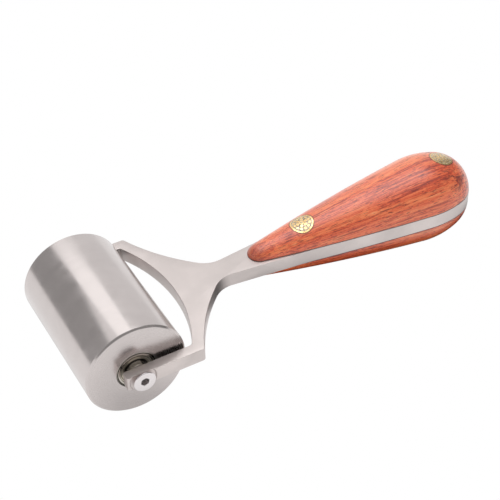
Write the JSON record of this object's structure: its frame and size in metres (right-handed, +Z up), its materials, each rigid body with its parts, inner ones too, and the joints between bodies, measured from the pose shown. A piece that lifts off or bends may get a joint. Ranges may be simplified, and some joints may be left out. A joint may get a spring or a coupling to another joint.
{
  "type": "seam roller",
  "caption": "Hand seam roller: a solid steel roller on ball bearings in a flat steel fork, with a full tang between crowned wooden handle scales and mosaic pins.",
  "frame": {"origin": "middle of the line on which the roller touches the surface it rolls on", "axes": "+X along the handle towards its butt, Y along the roller's axle with the screw head at -Y, +Z up and square to the flat fork plate"},
  "size_m": [0.1872, 0.0729, 0.04],
  "materials": {
    "fork_steel": "satin ground plate",
    "roller_steel": "fine turned, lightly polished",
    "screw_steel": "satin stainless",
    "spacer_steel": "turned",
    "bearing_steel": "ground and polished",
    "shield_steel": "pressed sheet, oily",
    "cage_steel": "pressed steel",
    "wood": "red hardwood under clear gloss lacquer",
    "brass": "sanded flush and polished",
    "resin": "dark epoxy, sanded flush"
  },
  "bodies": {
    "fork": {"fork_tang": "fork_steel", "top_scale": "wood", "bottom_scale": "wood", "front_pin_tube": "brass", "front_pin_resin": "resin", "front_pin_rods": "brass", "rear_pin_tube": "brass", "rear_pin_resin": "resin", "rear_pin_rods": "brass", "axle_screw": "screw_steel", "left_spacer": "spacer_steel", "right_spacer": "spacer_steel", "spacer_tube": "spacer_steel", "left_inner_ring": "bearing_steel", "right_inner_ring": "bearing_steel"},
    "roller": {"roller": "roller_steel", "left_outer_ring": "bearing_steel", "right_outer_ring": "bearing_steel", "left_bearing_left_shield": "shield_steel", "left_bearing_right_shield": "shield_steel", "right_bearing_left_shield": "shield_steel", "right_bearing_right_shield": "shield_steel"},
    "left_cage": {"left_cage": "cage_steel", "left_balls": "bearing_steel"},
    "right_cage": {"right_cage": "cage_steel", "right_balls": "bearing_steel"}
  },
  "joints": [
    {"name": "roller_spin", "type": "hinge", "parent": "fork", "child": "roller", "pos_m": [0, 0, 0.02], "axis": [0, 1, 0], "continuous": true},
    {"name": "left_cage_spin", "type": "hinge", "parent": "fork", "child": "left_cage", "pos_m": [0, -0.0273, 0.02], "axis": [0, 1, 0], "continuous": true},
    {"name": "right_cage_spin", "type": "hinge", "parent": "fork", "child": "right_cage", "pos_m": [0, 0.0273, 0.02], "axis": [0, 1, 0], "continuous": true}
  ],
  "couplings": [
    {"joint": "left_cage_spin", "follows": "roller_spin", "ratio": 0.6323},
    {"joint": "right_cage_spin", "follows": "roller_spin", "ratio": 0.6323}
  ]
}
